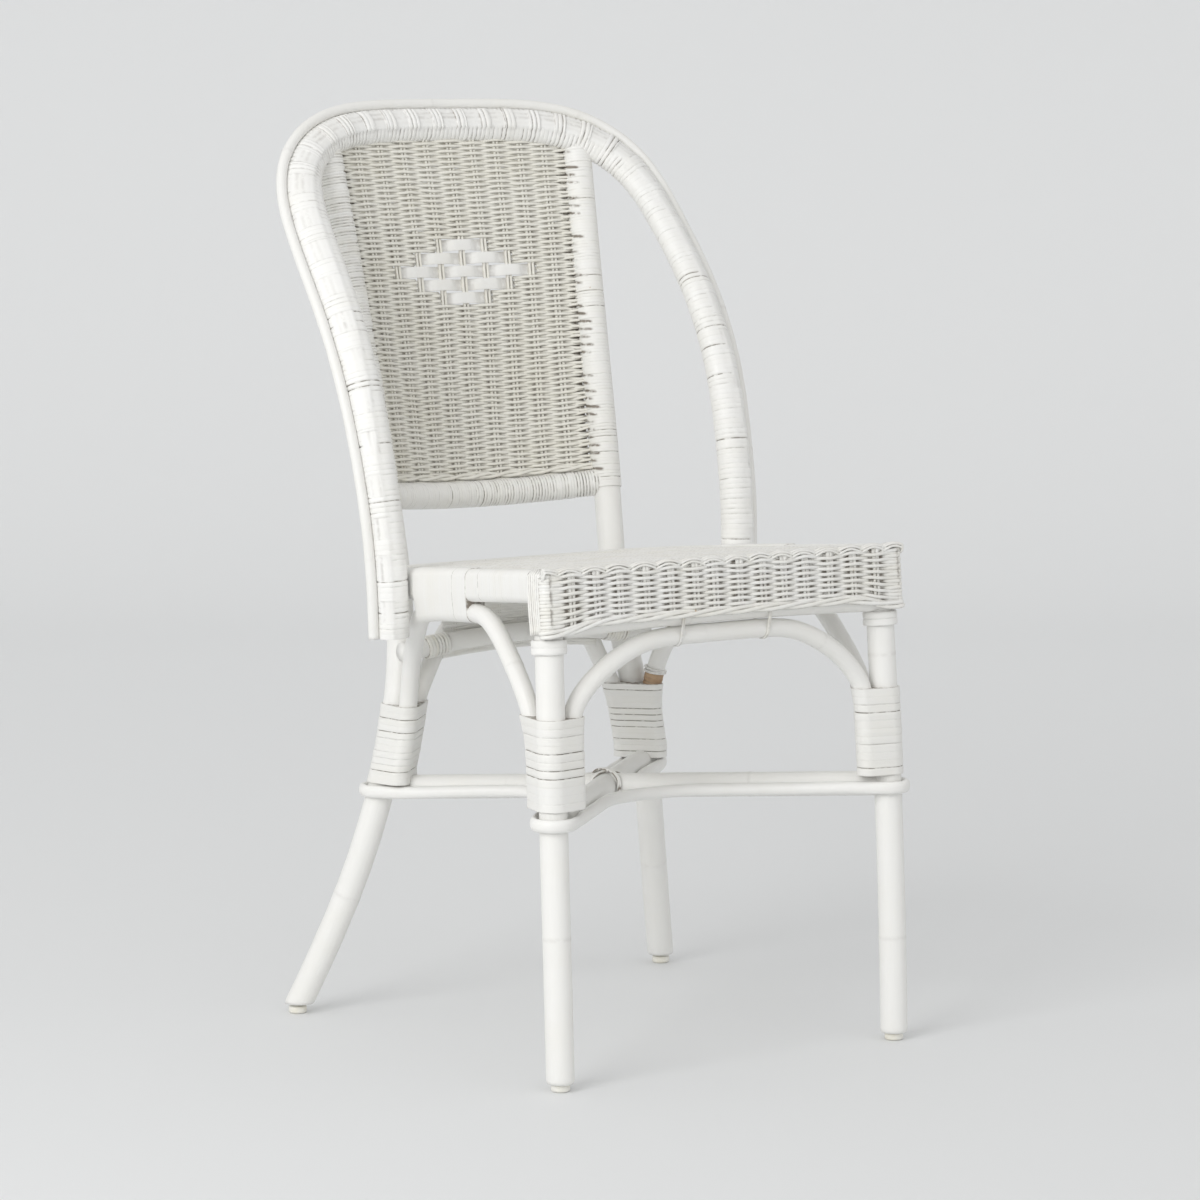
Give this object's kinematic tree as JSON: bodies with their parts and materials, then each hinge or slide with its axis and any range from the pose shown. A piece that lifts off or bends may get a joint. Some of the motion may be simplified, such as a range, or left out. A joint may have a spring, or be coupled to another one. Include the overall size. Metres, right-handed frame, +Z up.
{
  "type": "rattan side chair",
  "caption": "Armless painted rattan side chair with a wrapped hoop back, woven back panel with a ribbon diamond, woven seat and crossed stretchers.",
  "frame": {"origin": "on the floor, under the middle of the chair's bounding box", "axes": "+Z up, the front of the seat faces -Y, +X towards the right of a viewer who faces the front"},
  "size_m": [0.482, 0.5356, 0.9034],
  "materials": {
    "painted_pole": "brushed white paint on rattan pole",
    "painted_cane_wrap": "white paint on flat cane binding",
    "painted_weave": "white paint on woven rattan core",
    "painted_ribbon": "white paint on flat cane ribbon",
    "painted_cane": "thin white paint on cane lashing",
    "glide_plastic": "plain moulded plastic"
  },
  "bodies": {
    "root": {"front_leg_left": "painted_pole", "front_leg_right": "painted_pole", "rear_post_left": "painted_pole", "rear_post_right": "painted_pole", "hoop_rod": "painted_pole", "seat_frame": "painted_pole", "seat_rim_pole": "painted_pole", "seat_front_rail": "painted_pole", "rear_rail": "painted_pole", "front_arch": "painted_pole", "rear_arch": "painted_pole", "side_arch_left": "painted_pole", "side_arch_right": "painted_pole", "stretcher_left": "painted_pole", "stretcher_right": "painted_pole", "stretcher_ring": "painted_pole", "back_hoop": "painted_cane_wrap", "back_rail": "painted_cane_wrap", "stile_wrap_left": "painted_cane_wrap", "stile_wrap_right": "painted_cane_wrap", "front_leg_wrap_left": "painted_cane_wrap", "front_leg_wrap_right": "painted_cane_wrap", "rear_leg_wrap_left": "painted_cane_wrap", "rear_leg_wrap_right": "painted_cane_wrap", "leg_collar_left": "painted_cane_wrap", "leg_collar_right": "painted_cane_wrap", "side_wrap_left": "painted_cane_wrap", "side_wrap_right": "painted_cane_wrap", "back_panel": "painted_weave", "seat_weave": "painted_weave", "rear_apron": "painted_weave", "diamond_ribbon_1": "painted_ribbon", "diamond_ribbon_2": "painted_ribbon", "diamond_ribbon_3": "painted_ribbon", "diamond_ribbon_4": "painted_ribbon", "diamond_ribbon_5": "painted_ribbon", "front_cane_left": "painted_cane", "front_cane_right": "painted_cane", "rear_lashing_left": "painted_cane", "rear_lashing_right": "painted_cane", "centre_lashing_lower": "painted_cane", "centre_lashing_upper": "painted_cane", "front_glide_left": "glide_plastic", "front_glide_right": "glide_plastic", "rear_glide_left": "glide_plastic", "rear_glide_right": "glide_plastic"}
  },
  "joints": []
}
